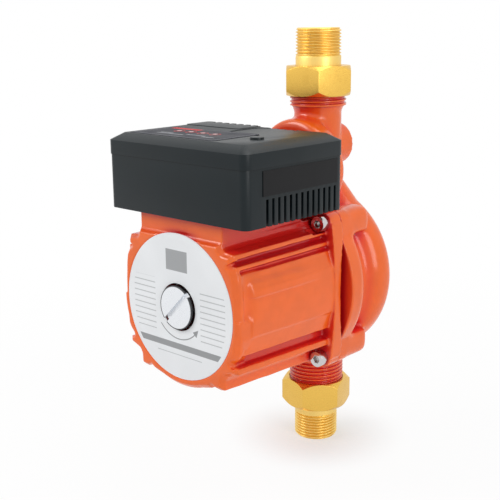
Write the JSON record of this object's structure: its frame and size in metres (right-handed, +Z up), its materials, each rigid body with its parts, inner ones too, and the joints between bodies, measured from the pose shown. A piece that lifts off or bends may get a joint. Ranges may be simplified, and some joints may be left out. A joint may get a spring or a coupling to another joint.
{
  "type": "shower pump",
  "caption": "In-line wet-rotor booster pump for a shower line, with a ribbed motor, a control box and brass pipe unions.",
  "frame": {"origin": "Centre of the inlet tailpiece's end face, on the pipe axis", "axes": "+Z runs up the pipe from the inlet to the outlet; the motor lies along -Y with its label face looking to -Y; +X is to the right of the label face"},
  "size_m": [0.1187, 0.1381, 0.251],
  "materials": {
    "orange_enamel": "glossy orange enamel on cast iron",
    "orange_alloy": "glossy orange enamel on cast aluminium",
    "brass": "turned, bright",
    "bright_steel": "turned and brushed",
    "zinc_steel": "zinc plated",
    "lamination": "stacked sheet edges",
    "winding": "varnished copper wire",
    "carbon": "ground carbon ceramic",
    "black_rubber": "moulded",
    "impeller_plastic": "moulded, glass filled",
    "box_plastic": "fine spark-eroded texture",
    "film_gloss": "printed polyester film with plain marks",
    "plate_gloss": "blank black plate",
    "label_silver": "blank satin disc",
    "board_green": "solder mask",
    "can_blue": "shrink sleeve",
    "lens_red": "clear red",
    "lead_red": "insulated wire",
    "block_white": "moulded"
  },
  "bodies": {
    "pump_body": {"casing": "orange_enamel", "neck_ring": "brass", "casing_gasket": "black_rubber", "inlet_tail": "brass", "inlet_washer": "black_rubber", "outlet_tail": "brass", "outlet_washer": "black_rubber", "flap_pin": "bright_steel", "flow_sensor": "box_plastic", "motor_housing": "orange_alloy", "flange_screws": "zinc_steel", "rating_disc": "label_silver", "bearing_plate": "bright_steel", "front_bearing": "carbon", "rotor_can": "bright_steel", "rear_bearing": "carbon", "stator_core": "lamination", "stator_windings": "winding", "box_base": "box_plastic", "box_lid": "box_plastic", "box_screws": "zinc_steel", "lead_grommet": "black_rubber", "motor_leads": "lead_red", "circuit_board": "board_green", "capacitor": "can_blue", "terminal_block": "block_white", "indicator_lenses": "lens_red", "button_spring": "bright_steel", "control_film": "film_gloss", "side_plate": "plate_gloss", "gland_body": "box_plastic", "gland_seal": "black_rubber"},
    "rotor": {"shaft": "bright_steel", "rotor_core": "lamination", "thrust_washer": "carbon", "impeller": "impeller_plastic", "impeller_shroud": "impeller_plastic"},
    "inlet_union": {"inlet_nut": "brass"},
    "outlet_union": {"outlet_nut": "brass"},
    "flap": {"flow_flap": "impeller_plastic"},
    "plug_seal": {"vent_plug_seal": "black_rubber"},
    "plug": {"vent_plug": "bright_steel"},
    "button": {"mode_button": "box_plastic"},
    "gland": {"gland_nut": "box_plastic"}
  },
  "joints": [
    {"name": "rotor_spin", "type": "hinge", "parent": "pump_body", "child": "rotor", "pos_m": [0, -0.06, 0.1095], "axis": [0, -1, 0], "continuous": true},
    {"name": "inlet_nut_turn", "type": "hinge", "parent": "pump_body", "child": "inlet_union", "pos_m": [0, 0, 0.03], "axis": [0, 0, -1], "continuous": true},
    {"name": "outlet_nut_turn", "type": "hinge", "parent": "pump_body", "child": "outlet_union", "pos_m": [0, 0, 0.221], "axis": [0, 0, 1], "continuous": true},
    {"name": "flap_swing", "type": "hinge", "parent": "pump_body", "child": "flap", "pos_m": [0, 0.0073, 0.1945], "axis": [-1, 0, 0], "range_deg": [0, 55]},
    {"name": "plug_travel", "type": "slide", "parent": "pump_body", "child": "plug_seal", "axis": [0, -1, 0], "range_m": [0, 0.0045]},
    {"name": "plug_turn", "type": "hinge", "parent": "plug_seal", "child": "plug", "pos_m": [0, -0.114, 0.1095], "axis": [0, -1, 0], "range_deg": [0, 1080]},
    {"name": "button_press", "type": "slide", "parent": "pump_body", "child": "button", "axis": [0, 0, -1], "range_m": [0, 0.0008], "stiffness_N_per_m": 300, "springref_m": -0.001, "deforming": ["button_spring"]},
    {"name": "gland_nut_turn", "type": "hinge", "parent": "pump_body", "child": "gland", "pos_m": [-0.055, -0.065, 0.1722], "axis": [-1, 0, 0], "continuous": true}
  ],
  "couplings": [
    {"joint": "plug_turn", "follows": "plug_travel", "rad_per_m": 4188.8}
  ]
}
